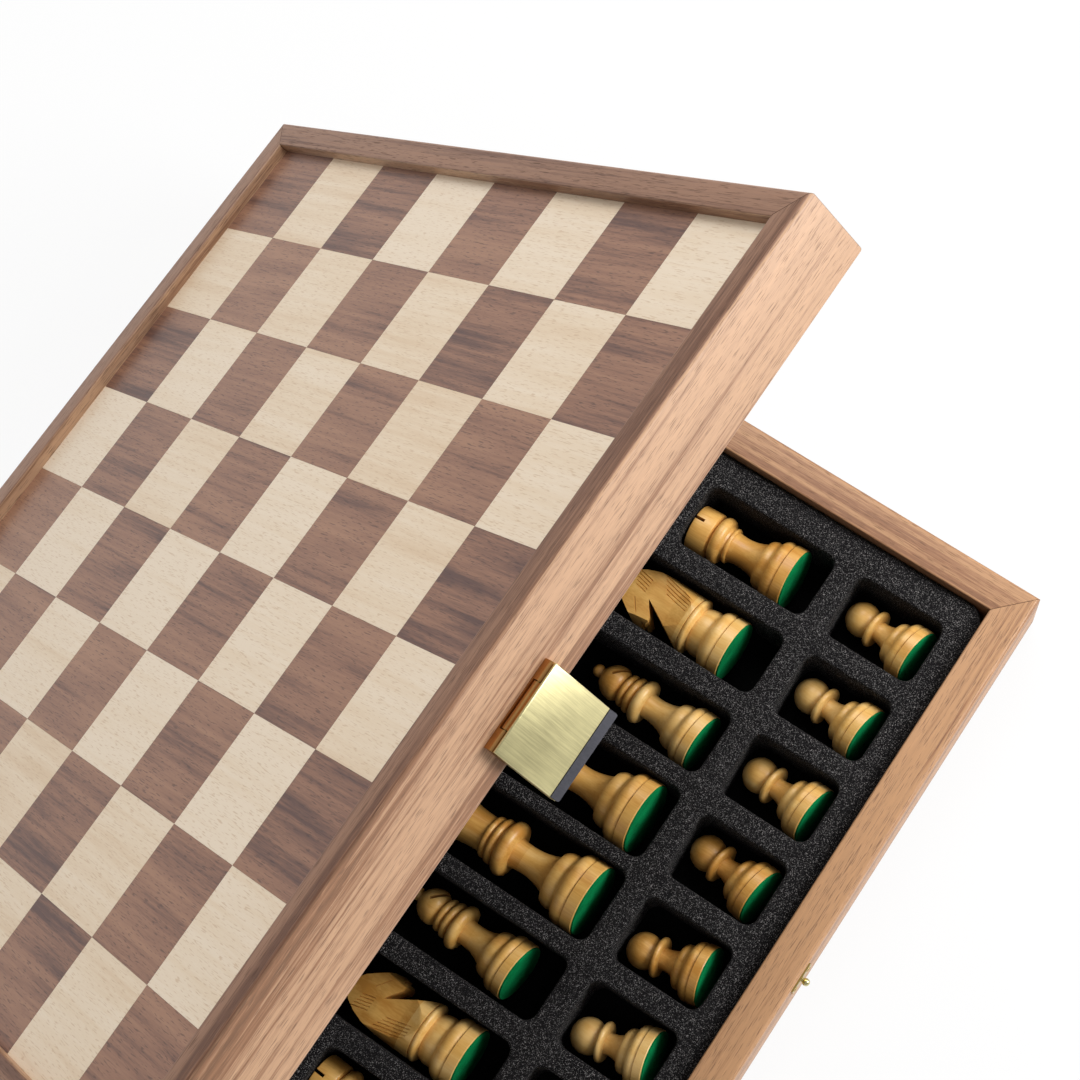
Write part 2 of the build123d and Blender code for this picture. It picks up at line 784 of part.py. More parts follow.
outlines = {
    "pawn": [
        *foot(pawn),
        *stem(pawn),
        *ring(pawn, "collar"),
        *ball(pawn["head"], pawn["top"], pawn["neck"]),
    ],
    "rook": [
        *foot(rook),
        *stem(rook),
        *ring(rook, "collar"),
        *ring(rook, "ring"),
        (rook["head"], rook["head_low"], 0),
        (rook["head"], rook["top"], 0),
        (0, rook["top"], 0),
    ],
    "knight": [
        *foot(knight),
        *ring(knight, "collar"),
        (knight["neck"], knight["neck_low"], 0),
        (0, knight["neck_low"], 0),
    ],
    "bishop": [
        *foot(bishop),
        *stem(bishop),
        *ring(bishop, "collar"),
        *ring(bishop, "ring"),
        *ring(bishop, "upper_ring"),
        *mitre(bishop),
        *ball(bishop["finial"], bishop["top"], bishop["tip"]),
    ],
    "queen": [
        *foot(queen),
        *stem(queen),
        *ring(queen, "collar"),
        *ring(queen, "ring"),
        *ring(queen, "upper_ring"),
        *crown(queen),
        *ball(queen["pearl"], queen["top"], queen["pearl_neck"]),
    ],
    "king": [
        *foot(king),
        *stem(king),
        *ring(king, "collar"),
        *ring(king, "ring"),
        *ring(king, "upper_ring"),
        *crown(king),
        (0, king["dome_top"], 0),
    ],
}
# The horse's head in profile, muzzle towards +x, drawn over the neck. Its points are shares of the head's
# height: forward of the piece's axis, and above the neck ring.
horse_head = (
    (-0.275, -0.025),  # foot of the mane
    (-0.33, 0.35),
    (-0.2625, 0.7),
    (-0.1125, 0.9125),  # poll
    (0.0125, 1.0),  # ear
    (0.075, 0.9),
    (0.1875, 0.7875),  # brow
    (0.325, 0.5625),  # nose
    (0.31, 0.45),  # lips
    (0.2, 0.425),
    (0.0875, 0.475),  # throat
    (0.275, 0.15),  # chest
    (0.2875, -0.025),
)


def resting(kind):
    """Where a lying piece touches the floor near its head, as height and radius, and how far it tilts."""
    piece = pieces[kind]
    plinth = piece["plinth_top"]
    if kind == "pawn":
        middle = piece["top"] - piece["head"]
        slope = atan(piece["base"] / (middle - plinth))
        reach = ((middle - plinth) ** 2 + piece["base"] ** 2) ** 0.5
        tilt = slope - asin(piece["head"] / reach)
        return middle + piece["head"] * sin(tilt), piece["head"] * cos(tilt), tilt
    if kind == "rook":
        height, radius = piece["top"], piece["head"]
    else:
        height, radius = (piece["collar_low"] + piece["collar_top"]) / 2, piece["collar"]
    return height, radius, atan((piece["base"] - radius) / (height - plinth))


def lying_plane(kind, column, half, felt_y, lean):
    """The plane under a lying piece, its normal along the piece from felt to head."""
    piece = pieces[kind]
    height, radius, tilt = resting(kind)
    yaw = radians(lean)
    place = Vector(
        column_x(column) - sin(yaw) * height * lean_share,
        half * felt_y,
        floor_height + piece_clearance + piece["base"] * cos(tilt) + piece["plinth_top"] * sin(tilt),
    )
    direction = Vector(sin(yaw) * cos(tilt), -half * cos(yaw) * cos(tilt), -sin(tilt))
    return Plane(origin=place, x_dir=Vector(cos(yaw), half * sin(yaw), 0), z_dir=direction)


def turned_piece(kind, plane, muzzle):
    """One chess piece with its felt disc, standing on the plane given and pointing along its normal."""
    side_view = Plane(plane.location * Plane.XZ.location)
    spin = Axis(plane.origin, plane.z_dir)
    outline = outlines[kind]
    with BuildPart() as piece:
        with BuildSketch(side_view):
            with BuildLine():
                start = (0, felt_sheet)
                for radius, height, bulge in outline:
                    end = (radius, height)
                    if bulge:
                        SagittaArc(start, end, -bulge)
                    else:
                        Line(start, end)
                    start = end
                Line(start, (0, felt_sheet))
            make_face()
        revolve(axis=spin)
        if kind == "knight":
            low = knight["neck_low"]
            tall = knight["top"] - low
            profile = [(muzzle * x * tall, low + y * tall) for x, y in horse_head]
            with BuildSketch(side_view) as head:
                with BuildLine():
                    Polyline(*profile, close=True)
                make_face()
                fillet(head.vertices().group_by(Axis.Y)[1:], radius=knight["head_round"])
            extrude(amount=knight["head_thickness"] / 2, both=True)
        if kind == "rook":
            with BuildSketch(plane.offset(rook["top"])):
                Circle(rook["cup"])
            extrude(amount=-rook["cup_depth"], mode=Mode.SUBTRACT)
            with BuildSketch(plane.offset(rook["top"])):
                with PolarLocations(0, rook_slots, angular_range=180):
                    Rectangle(3 * rook["head"], rook["slot"])
            extrude(amount=-rook["slot_depth"], mode=Mode.SUBTRACT)
        if kind == "bishop":
            slant = Pos(bishop["cut"], 0, bishop["cut_height"]) * Rot(0, bishop_cut_angle, 0)
            with BuildSketch(Plane(plane.location * slant)):
                Rectangle(2 * bishop["head"], 3 * bishop["head"], align=(Align.MIN, Align.CENTER))
            extrude(amount=bishop["cut"] / 2, both=True, mode=Mode.SUBTRACT)
        if kind == "queen":
            with BuildSketch(plane.offset(queen["crown_top"])):
                with PolarLocations(queen["crown"], crown_notches):
                    Circle(queen["notch"])
            extrude(amount=-queen["notch_depth"], mode=Mode.SUBTRACT)
        if kind == "king":
            with BuildSketch(side_view):
                with Locations((0, (king["top"] + king["crown_top"]) / 2)):
                    Rectangle(king["cross_bar"], king["top"] - king["crown_top"])
                with Locations((0, king["top"] - king["cross"] / 2)):
                    Rectangle(king["cross"], king["cross_bar"])
            extrude(amount=king["cross_bar"] / 2, both=True)
    with BuildPart() as felt:
        with BuildSketch(plane):
            Circle(outline[0][0] - felt_inset)
        extrude(amount=felt_sheet)
    return Compound([*piece.part.solids(), *felt.part.solids()])


# The light set lies in the front half, the dark set in the back half
made = {}
for half, colour in ((-1, "light"), (1, "dark")):
    for column, rank_kind in enumerate(back_rank):
        pawn_y = pawn_row_front - pawn_slide[column] * pocket_spare["pawn"]
        rank_y = rank_row_front - rank_slide[column] * pocket_spare[rank_kind]
        for kind, felt_y, lean in (
            ("pawn", pawn_y, pawn_lean[column]),
            (rank_kind, rank_y, rank_lean[column]),
        ):
            number = made[colour, kind] = made.get((colour, kind), 0) + 1
            plane = lying_plane(kind, column, half, felt_y, lean)
            muzzle = -1 if column < len(back_rank) / 2 else 1
            single = kind in ("queen", "king")
            name = f"{colour}_{kind}" if single else f"{colour}_{kind}_{number}"
            save(turned_piece(kind, plane, muzzle), name)
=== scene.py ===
import json
from math import atan, cos, pi, radians, sin, sqrt
import random

import bmesh
import bpy
from mathutils import Matrix, Vector


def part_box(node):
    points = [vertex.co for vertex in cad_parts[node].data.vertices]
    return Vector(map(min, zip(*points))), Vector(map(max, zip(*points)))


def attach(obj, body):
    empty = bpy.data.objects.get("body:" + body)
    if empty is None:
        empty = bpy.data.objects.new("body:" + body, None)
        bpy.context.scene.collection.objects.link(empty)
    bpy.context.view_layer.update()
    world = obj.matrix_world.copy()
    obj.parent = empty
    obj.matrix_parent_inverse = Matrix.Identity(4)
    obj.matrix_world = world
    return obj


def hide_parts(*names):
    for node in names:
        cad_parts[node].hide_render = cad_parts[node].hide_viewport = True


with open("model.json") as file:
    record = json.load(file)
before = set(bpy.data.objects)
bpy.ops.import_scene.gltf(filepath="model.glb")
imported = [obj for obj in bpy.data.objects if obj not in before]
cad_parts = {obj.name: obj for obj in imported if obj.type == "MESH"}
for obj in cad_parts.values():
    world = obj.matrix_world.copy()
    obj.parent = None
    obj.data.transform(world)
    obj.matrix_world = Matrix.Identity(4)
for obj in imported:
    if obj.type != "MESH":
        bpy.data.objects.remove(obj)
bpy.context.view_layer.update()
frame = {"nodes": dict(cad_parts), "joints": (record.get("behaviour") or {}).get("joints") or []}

# Camera: a long lens close above the left of the box, turned so that the board's front right corner
# points to the upper right of the frame. It takes in about half of the box.
eye = Vector((-0.0809, -0.2546, 1.0063))
eye_turn = (17.875, 2.6685, -56.5056)
camera = bpy.data.objects.new("camera", bpy.data.cameras.new("camera"))
camera.location = eye
camera.rotation_euler = [radians(angle) for angle in eye_turn]
camera.data.sensor_width = 36
camera.data.lens = 76.652
camera.data.shift_x = -0.15694
camera.data.shift_y = -0.04272
camera.data.clip_start = 0.01
bpy.context.scene.collection.objects.link(camera)
bpy.context.scene.camera = camera

# Base frame: four solid walnut rails mitred at the corners, with a rebate below for the bottom panel.
# The outer edges are rounded over and the inner ones only eased. Each rail is its own stick of wood,
# so the grain runs along it and its tone differs a little from its neighbours'.
mm = 0.001
up = Vector((0, 0, 1))
outward_of = {
    "front": Vector((0, -1, 0)),
    "back": Vector((0, 1, 0)),
    "left": Vector((-1, 0, 0)),
    "right": Vector((1, 0, 0)),
}
half_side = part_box("base_right_wall")[1].x
base_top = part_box("base_right_wall")[1].z
panel_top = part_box("base_bottom_panel")[1].z
wall = 16 * mm
rebate = 6 * mm
edge_round = 1.6 * mm
inner_round = 0.9 * mm
mitre_ease = 0.14 * mm
mitre_line = (0.1 * mm, 0.35 * mm)
# Painted shade on the lid rim's top: how soft its lower edge is, and the factor that darkens the wood.
painted_shade_edge = 0.3 * mm
painted_top_shade = (0.63, 0.54, 0.53, 1)
leaf_length = 40 * mm
leaf_width = 11 * mm
leaf_sheet = 1.2 * mm
leaf_clearance = 0.1 * mm
hinge_places = (-110 * mm, 110 * mm)
smooth_below = radians(32)


class Shade:
    """A socket in a node tree. Python's operators on it add Math nodes, and node() adds any other."""

    def __init__(self, tree, socket=None):
        self.tree = tree
        self.socket = socket

    def node(self, kind, settings, inputs, output=0):
        made = self.tree.nodes.new(kind)
        for name, value in settings.items():
            if name == "stops":
                ramp = made.color_ramp.elements
                while len(ramp) < len(value):
                    ramp.new(1)
                for stop, (position, colour) in zip(ramp, value):
                    stop.position = position
                    stop.color = (*colour, 1)
            else:
                setattr(made, name, value)
        for name, value in inputs.items():
            if isinstance(value, Shade):
                self.tree.links.new(value.socket, made.inputs[name])
            else:
                made.inputs[name].default_value = value
        return Shade(self.tree, made.outputs[output] if made.outputs else None)

    def maths(self, operation, first, second=0.0):
        return self.node("ShaderNodeMath", {"operation": operation}, {0: first, 1: second})

    def __add__(self, other):
        return self.maths("ADD", self, other)

    def __radd__(self, other):
        return self.maths("ADD", other, self)

    def __sub__(self, other):
        return self.maths("SUBTRACT", self, other)

    def __rsub__(self, other):
        return self.maths("SUBTRACT", other, self)

    def __mul__(self, other):
        return self.maths("MULTIPLY", self, other)

    def __rmul__(self, other):
        return self.maths("MULTIPLY", other, self)

    def between(self, low, high):
        """0 at low, 1 at high, and a smooth step between them."""
        settings = {"interpolation_type": "SMOOTHSTEP"}
        return self.node("ShaderNodeMapRange", settings, {0: self, 1: low, 2: high, 3: 0.0, 4: 1.0})

    def noise(self, scale, detail=2.0, roughness=0.5, output=0):
        """Noise over a place, scale waves to the metre."""
        inputs = {"Vector": self, "Scale": scale, "Detail": detail, "Roughness": roughness}
        return self.node("ShaderNodeTexNoise", {}, inputs, output)

    def stretched(self, stretch, shift=(0, 0, 0)):
        """The same place, with each direction drawn out or packed closer."""
        inputs = {"Vector": self, "Scale": stretch, "Location": shift}
        return self.node("ShaderNodeMapping", {}, inputs)

    def tinted(self, colour, factor):
        """This colour turned into another by the factor."""
        return self.node("ShaderNodeMix", {"data_type": "RGBA"}, {0: factor, 6: self, 7: colour}, output=2)


def srgb(*levels):
    """A colour given in screen levels from 0 to 255, as the linear values that the shaders take."""
    parts = (level / 255 for level in levels)
    return tuple(part / 12.92 if part <= 0.04045 else ((part + 0.055) / 1.055) ** 2.4 for part in parts)


def new_finish(name, place=Matrix()):
    """An empty material, and where a point is in its piece's own frame, which place has carried along."""
    finish = bpy.data.materials.new(name)
    finish.use_nodes = True
    finish.node_tree.nodes.clear()
    here = Shade(finish.node_tree).node("ShaderNodeTexCoord", {}, {}, output="Object")
    moved = {"Vector": here, "Location": place.translation, "Rotation": place.to_euler()}
    return finish, here.node("ShaderNodeMapping", {"vector_type": "TEXTURE"}, moved)


def surface(here, colour, roughness, height, depth, **fixed):
    """Ends a material with its shader: height is the relief, and depth what it is worth in metres."""
    bump = here.node("ShaderNodeBump", {}, {"Height": height, "Distance": depth, "Strength": 1.0})
    inputs = {"Base Color": colour, "Roughness": roughness, "Normal": bump}
    for name, value in fixed.items():
        inputs[name.replace("_", " ")] = value
    shader = here.node("ShaderNodeBsdfPrincipled", {}, inputs)
    here.node("ShaderNodeOutputMaterial", {}, {"Surface": shader})


def rail_wood(name, side, place=Matrix(), pale=(183, 138, 98), deep=(147, 101, 69), painted_shade_above=1.0):
    """Lacquered walnut: bands of growth lines, fibres and short dashes of pores, all along the rail. Above
    the given height the colour is multiplied darker: painted shade on the rail's top, which gets less light
    than its front. Each mitre shows as a thin dark line."""
    finish, here = new_finish(name, place)
    along = 1 if side in ("left", "right") else 0
    shift = tuple(random.uniform(-2, 2) for _ in range(3))

    def grain(lengthwise, crosswise, detail=2.0):
        stretch = [crosswise] * 3
        stretch[along] = lengthwise
        return here.stretched(stretch, shift).noise(1.0, detail)

    bands = grain(3, 75, 3.0)
    lines = grain(5, 520, 3.0)
    fibres = grain(40, 2300)
    pores = grain(150, 3000, 1.0).between(0.56, 0.7)
    flecks = grain(110, 2000, 1.0).between(0.58, 0.72)
    tone = bands * 0.5 + lines * 0.33 + fibres * 0.17
    colour = tone.node("ShaderNodeValToRGB", {"stops": (
        (0.36, srgb(*(level * 0.84 for level in deep))),
        (0.44, srgb(*deep)),
        (0.52, srgb(*pale)),
        (0.66, srgb(*(min(level * 1.07, 255) for level in pale))),
    )}, {"Fac": tone})
    colour = colour.tinted((*srgb(*(min(level * 1.14, 255) for level in pale)), 1), flecks * 0.25)
    colour = colour.tinted((*srgb(*(level * 0.7 for level in deep)), 1), pores * 0.6)
    # Painted shade: above the given height the wood is multiplied darker, for the weaker light on the top.
    height = here.node("ShaderNodeSeparateXYZ", {}, {"Vector": here}, output="Z")
    top_shade_mask = height.between(painted_shade_above, painted_shade_above + painted_shade_edge)
    multiply = {"data_type": "RGBA", "blend_type": "MULTIPLY"}
    colour = here.node("ShaderNodeMix", multiply, {0: top_shade_mask, 6: colour, 7: painted_top_shade}, output=2)
    spots = [here.node("ShaderNodeSeparateXYZ", {}, {"Vector": here}, output=axis) for axis in ("X", "Y")]
    sides = [spot.maths("ABSOLUTE", spot) for spot in spots]
    off_mitre = here.maths("ABSOLUTE", sides[0] - sides[1])
    mitre = 1 - off_mitre.between(*mitre_line)
    colour = colour.tinted((*srgb(*(level * 0.5 for level in deep)), 1), mitre * 0.6)
    relief = fibres * 0.3 - pores
    roughness = 0.4 + fibres * 0.12 + pores * 0.2
    surface(here, colour, roughness, relief, 0.03 * mm, Coat_Weight=0.12, Coat_Roughness=0.3)
    return finish


def edges_where(shape, test):
    """The edges whose two ends both pass a test."""
    return [edge for edge in shape.edges if all(test(vert.co) for vert in edge.verts)]


def rounded(shape, edges, radius, segments):
    bmesh.ops.bevel(
        shape, geom=edges, offset=radius, segments=segments, profile=0.5, affect="EDGES", material=-1
    )


def mitred_rail(outline, outward, rounds):
    """A straight rail with both ends mitred. The outline is in (outward, height), and rounds gives the
    radius for each of its points."""
    run = outward.cross(up)
    shape = bmesh.new()
    face = shape.faces.new([
        shape.verts.new(outward * out + up * height - run * out) for out, height in outline
    ])
    grown = bmesh.ops.extrude_face_region(shape, geom=[face])
    for vert in grown["geom"]:
        if isinstance(vert, bmesh.types.BMVert):
            vert.co += run * 2 * vert.co.dot(outward)
    bmesh.ops.recalc_face_normals(shape, faces=shape.faces)
    for (out, height), radius in zip(outline, rounds):
        if radius:
            corner = outward * out + up * height
            edges = edges_where(shape, lambda co: (co - corner - run * co.dot(run)).length < 0.01 * mm)
            rounded(shape, edges, radius, 4)
    rounded(shape, edges_where(shape, lambda co: abs(abs(co.x) - abs(co.y)) < 0.01 * mm), mitre_ease, 1)
    return shape


def block(low, high):
    """A plain block between two corners."""
    shape = bmesh.new()
    bmesh.ops.create_cube(shape, size=1)
    size = Vector(high) - Vector(low)
    bmesh.ops.scale(shape, vec=size, verts=shape.verts)
    bmesh.ops.translate(shape, vec=(Vector(high) + Vector(low)) / 2, verts=shape.verts)
    return shape


def joined(*shapes):
    """Several shapes in one."""
    whole = bmesh.new()
    for shape in shapes:
        part = bpy.data.meshes.new("part")
        shape.to_mesh(part)
        shape.free()
        whole.from_mesh(part)
        bpy.data.meshes.remove(part)
    return whole


def carved(shape, tool, keep="DIFFERENCE"):
    """A shape with another one cut out of it, or only what the two share."""
    pieces = []
    for each in (shape, tool):
        mesh = bpy.data.meshes.new("carving")
        each.to_mesh(mesh)
        each.free()
        pieces.append(bpy.data.objects.new("carving", mesh))
        bpy.context.scene.collection.objects.link(pieces[-1])
    cut = pieces[0].modifiers.new("cut", "BOOLEAN")
    cut.operation = keep
    cut.solver = "EXACT"
    cut.object = pieces[1]
    made = pieces[0].evaluated_get(bpy.context.evaluated_depsgraph_get())
    result = bmesh.new()
    result.from_mesh(made.to_mesh())
    for piece in pieces:
        bpy.data.meshes.remove(piece.data)
    return result


def finished(name, shape, finish, body, replaces=(), place=None):
    """Makes a shape a piece of the object: placed, dressed, riding on its body."""
    if place:
        bmesh.ops.transform(shape, matrix=place, verts=shape.verts)
    mesh = bpy.data.meshes.new(name)
    shape.to_mesh(mesh)
    shape.free()
    mesh.materials.append(finish)
    mesh.shade_smooth()
    mesh.set_sharp_from_angle(angle=smooth_below)
    piece = bpy.data.objects.new(name, mesh)
    bpy.context.scene.collection.objects.link(piece)
    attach(piece, body)
    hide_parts(*replaces)
    return piece


def leaf_beds(top, bottom):
    """The two shallow beds that the hinge leaves are let into, as one cutting shape."""
    reach = leaf_length / 2 + leaf_clearance
    inner = half_side - leaf_width - leaf_clearance
    return joined(*(
        block((x - reach, inner, bottom), (x + reach, half_side + wall, top)) for x in hinge_places
    ))


random.seed(3)
base_outline = (
    (half_side - wall, panel_top),
    (half_side - wall + rebate, panel_top),
    (half_side - wall + rebate, 0),
    (half_side, 0),
    (half_side, base_top),
    (half_side - wall, base_top),
)
for side, outward in outward_of.items():
    shape = mitred_rail(base_outline, outward, (0, 0, 0, edge_round, edge_round, inner_round))
    if side == "back":
        shape = carved(shape, leaf_beds(base_top + wall, base_top - leaf_sheet))
    finish = rail_wood(f"walnut of base {side}", side)
    finished(f"base_{side}_rail", shape, finish, "base", (f"base_{side}_wall",))

# Bottom panel: thin plywood let into the rebate from below, seen only when the box is turned over.
finish, here = new_finish("plywood")
fibres = here.stretched((6, 160, 160)).noise(1.0, 4.0)
flecks = here.stretched((60, 900, 900)).noise(1.0).between(0.6, 0.75)
colour = fibres.node("ShaderNodeValToRGB", {"stops": (
    (0.3, srgb(196, 160, 116)),
    (0.7, srgb(222, 190, 146)),
)}, {"Fac": fibres})
colour = colour.tinted((*srgb(150, 110, 72), 1), flecks * 0.4)
surface(here, colour, 0.6 + flecks * 0.1, fibres, 0.05 * mm)
for name in ("base_bottom_panel", "board_core_panel"):
    for slot in frame["nodes"][name].material_slots:
        slot.material = finish

# Foam tray: a block of black flocked foam, cut through for 32 pockets and standing on a flocked liner.
# Cutting leaves the foam with soft edges. It is a little smaller than the box, with rounded corners.
foam_round = 1.3 * mm


def flock(name, dark, light, share):
    """Short black fibres on foam: dull, with pale specks half a millimetre wide."""
    finish, here = new_finish(name)
    specks = here.noise(2900, 1.0).between(0.65 - share, 0.78 - share)
    tufts = here.noise(700, 2.0)
    cloud = here.noise(60, 2.0)
    colour = cloud.node("ShaderNodeValToRGB", {"stops": (
        (0.3, srgb(*dark)),
        (0.7, srgb(*(level * 1.25 for level in dark))),
    )}, {"Fac": cloud})
    colour = colour.tinted((*srgb(*light), 1), specks * (0.2 + tufts * 0.8))
    surface(here, colour, 0.95 - specks * 0.1, tufts + specks * 0.6, 0.35 * mm, Specular_IOR_Level=0.12)
    return finish


black_foam = flock("black flocked foam", (19, 18, 19), (190, 186, 184), 0.07)
shape = bmesh.new()
shape.from_mesh(frame["nodes"]["foam_tray"].data)
bmesh.ops.remove_doubles(shape, verts=shape.verts, dist=0.001 * mm)
foam_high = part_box("foam_tray")[1]
level = lambda edge: all(abs(vert.co.z - foam_high.z) < 0.01 * mm for vert in edge.verts)
upright = lambda face: abs(face.normal.z) < 0.1
shape.normal_update()
rims = [edge for edge in shape.edges if level(edge) and any(upright(face) for face in edge.link_faces)]
rounded(shape, rims, foam_round, 4)
tray = finished("foam_pockets", shape, black_foam, "base", ("foam_tray",))
for slot in frame["nodes"]["tray_floor_liner"].material_slots:
    slot.material = flock("black flocked liner", (9, 9, 10), (46, 46, 48), 0.04)

# Lid frame: four rails mitred in the same way, with a step inside that holds the board below the rim.
# All pieces of the lid are drawn shut, as they are made, and carried round the hinge line to rest.
lid_joint = next(joint for joint in frame["joints"] if joint["name"] == "lid_hinge")
hinge_line = Vector(lid_joint["pos_m"])
lid_angle = -radians(lid_joint["range_deg"][0])
swing = Matrix.Rotation(-lid_angle, 4, "X")
open_lid = Matrix.Translation(hinge_line) @ swing @ Matrix.Translation(-hinge_line)
joint_gap = 0.4 * mm
lid_low = base_top + joint_gap
lid_height = 31 * mm
lid_top = lid_low + lid_height
rim = 12 * mm
board_low = lid_low + 20 * mm
lid_outline = (
    (half_side - wall, lid_low),
    (half_side, lid_low),
    (half_side, lid_top),
    (half_side - rim, lid_top),
    (half_side - rim, board_low),
    (half_side - wall, board_low),
)
lid_pale = (188, 149, 117)
lid_deep = (144, 103, 75)
# From just under the lid rim's top upwards, the wood gets painted shade.
painted_shade_from = lid_top - 0.5 * mm
for side, outward in outward_of.items():
    shape = mitred_rail(lid_outline, outward, (inner_round, edge_round, edge_round, inner_round, 0, 0))
    if side == "back":
        shape = carved(shape, leaf_beds(lid_low + leaf_sheet, lid_low - wall))
    finish = rail_wood(f"walnut of lid {side}", side, open_lid, lid_pale, lid_deep, painted_shade_from)
    finished(f"lid_{side}_frame", shape, finish, "lid", (f"lid_{side}_rail",), open_lid)

# Board: 64 veneer squares, walnut and maple, laid with the grain from the hinges to the latch, sanded
# flush and lacquered. Every square is cut from another place in the sheet, so its tone differs.
square = 45 * mm
board_half = 4 * square


def veneer(name, tones, flaw, figure):
    """Lacquered veneer: fine lines along Y that start anew in each square."""
    finish, here = new_finish(name, open_lid)
    cell = here.node(
        "ShaderNodeVectorMath",
        {"operation": "FLOOR"},
        {0: here.stretched((1 / square, 1 / square, 0), (board_half / square, board_half / square, 0))},
    )
    chance = cell.node("ShaderNodeTexWhiteNoise", {"noise_dimensions": "3D"}, {"Vector": cell}, output=1)
    luck = cell.node("ShaderNodeTexWhiteNoise", {"noise_dimensions": "3D"}, {"Vector": cell})
    away = chance.node("ShaderNodeVectorMath", {"operation": "SCALE"}, {0: chance, "Scale": 3.0})
    sheet = here.node("ShaderNodeVectorMath", {"operation": "ADD"}, {0: here, 1: away})
    bands = sheet.stretched((130, 9, 9)).noise(1.0, 3.0)
    lines = sheet.stretched((620, 16, 16)).noise(1.0, 3.0)
    fibres = sheet.stretched((2600, 120, 120)).noise(1.0)
    pores = sheet.stretched((2600, 230, 230)).noise(1.0, 1.0).between(0.58, 0.7)
    tone = bands * 0.5 + lines * 0.32 + fibres * 0.18 + (luck - 0.5) * figure
    colour = tone.node(
        "ShaderNodeValToRGB", {"stops": [(at, srgb(*levels)) for at, levels in tones]}, {"Fac": tone}
    )
    colour = colour.tinted((*srgb(*flaw), 1), pores * 0.55)
    relief = fibres * 0.4 - pores
    surface(here, colour, 0.36 + fibres * 0.14, relief, 0.03 * mm, Coat_Weight=0.15, Coat_Roughness=0.25)
    return finish


walnut_tones = ((0.34, (96, 65, 57)), (0.42, (128, 90, 73)), (0.5, (154, 111, 88)), (0.64, (172, 128, 101)))
maple_tones = ((0.3, (234, 207, 174)), (0.45, (243, 221, 192)), (0.6, (248, 229, 204)))
for name, finish in (
    ("dark_squares", veneer("walnut veneer", walnut_tones, (70, 46, 40), 0.14)),
    ("light_squares", veneer("maple veneer", maple_tones, (214, 180, 142), 0.2)),
):
    for slot in frame["nodes"][name].material_slots:
        slot.material = finish

# Lining: a sheet of black felt glued under the board panel, a little uneven where the glue is thick.
felt_gap = 1 * mm
lining_sheet = 1.0 * mm
lining_side = 2 * (half_side - wall - felt_gap)
shape = bmesh.new()
bmesh.ops.create_grid(shape, x_segments=90, y_segments=90, size=lining_side / 2)
for vert in shape.verts:
    ripple = sin(vert.co.x * 61) * sin(vert.co.y * 47 + 1) + 0.5 * sin(vert.co.x * 143 + vert.co.y * 97)
    vert.co.z = board_low - 0.12 * mm + 0.06 * mm * ripple
bmesh.ops.solidify(shape, geom=shape.faces, thickness=lining_sheet)
bmesh.ops.recalc_face_normals(shape, faces=shape.faces)
black_felt = flock("black felt", (20, 20, 22), (70, 70, 74), 0.05)
lining = finished("lid_felt", shape, black_felt, "lid", ("lid_lining",), open_lid)

# Brass fittings: butt hinges, a flap latch and its strike, all sheet brass, brushed and lacquered.
# The brushing runs one way, so the streaks are long and as fine as hair.


def brushed_brass(name, colour, place=Matrix(), along=2, rough=0.3):
    """Brushed brass, with its streaks along one axis of the piece's own frame."""
    finish, here = new_finish(name, place)
    stretch = [1.0, 1.0, 1.0]
    stretch[along] = 0.03
    fine = here.stretched(stretch).noise(5200, 3.0, 0.6) * 0.5
    hairs = fine + here.stretched(stretch).noise(2200, 2.0) * 0.5
    blush = here.noise(90, 2.0)
    tint = blush.node("ShaderNodeValToRGB", {"stops": (
        (0.38, srgb(*(level * 0.88 for level in colour))),
        (0.6, srgb(*colour)),
    )}, {"Fac": blush * 0.35 + hairs * 0.65})
    surface(here, tint, rough - 0.08 + hairs * 0.2, hairs, 0.012 * mm, Metallic=1.0)
    return finish


pale_brass = (222, 212, 160)
hinge_brass = (206, 178, 108)
base_brass = brushed_brass("brass of hinges", hinge_brass, along=0)
lid_brass = brushed_brass("brass of hinges on lid", hinge_brass, open_lid, along=0)
for name, finish in (
    ("hinge_base_leaves", base_brass),
    ("hinge_pins", base_brass),
    ("hinge_lid_leaves", lid_brass),
    ("latch_back_plate", brushed_brass("brass of latch plate", (190, 140, 84), open_lid, along=0)),
    ("latch_pin", lid_brass),
    ("latch_clip", brushed_brass("spring steel", (170, 172, 176), open_lid)),
    ("strike_plate", brushed_brass("brass of strike", hinge_brass, along=0)),
    ("strike_ball_stud", brushed_brass("brass of stud", pale_brass, rough=0.2)),
):
    for slot in frame["nodes"][name].material_slots:
        slot.material = finish


# Screws: small slotted brass screws, countersunk in the hinges and domed at the latch and the strike.
# No two slots stop at the same angle.
def screw(head, shank, length, dome, cone, slot_width, slot_depth):
    """A slotted screw along +Z, its seat at the origin: a dome above it or a cone below it."""
    stations = [(shank, -length), (shank, -cone), (head, 0)]
    if dome:
        stations += [(head * cos(step * pi / 10), dome * sin(step * pi / 10)) for step in range(1, 5)]
    shape = bmesh.new()
    verts = [shape.verts.new((0, 0, -length))]
    verts += [shape.verts.new((radius, 0, height)) for radius, height in stations]
    verts.append(shape.verts.new((0, 0, dome)))
    edges = [shape.edges.new(pair) for pair in zip(verts, verts[1:])]
    bmesh.ops.spin(shape, geom=edges, cent=(0, 0, 0), axis=up, angle=2 * pi, steps=24, use_merge=True)
    bmesh.ops.remove_doubles(shape, verts=shape.verts, dist=0.001 * mm)
    bmesh.ops.recalc_face_normals(shape, faces=shape.faces)
    low = (-2 * head, -slot_width / 2, dome - slot_depth)
    return carved(shape, block(low, (2 * head, slot_width / 2, dome + head)))


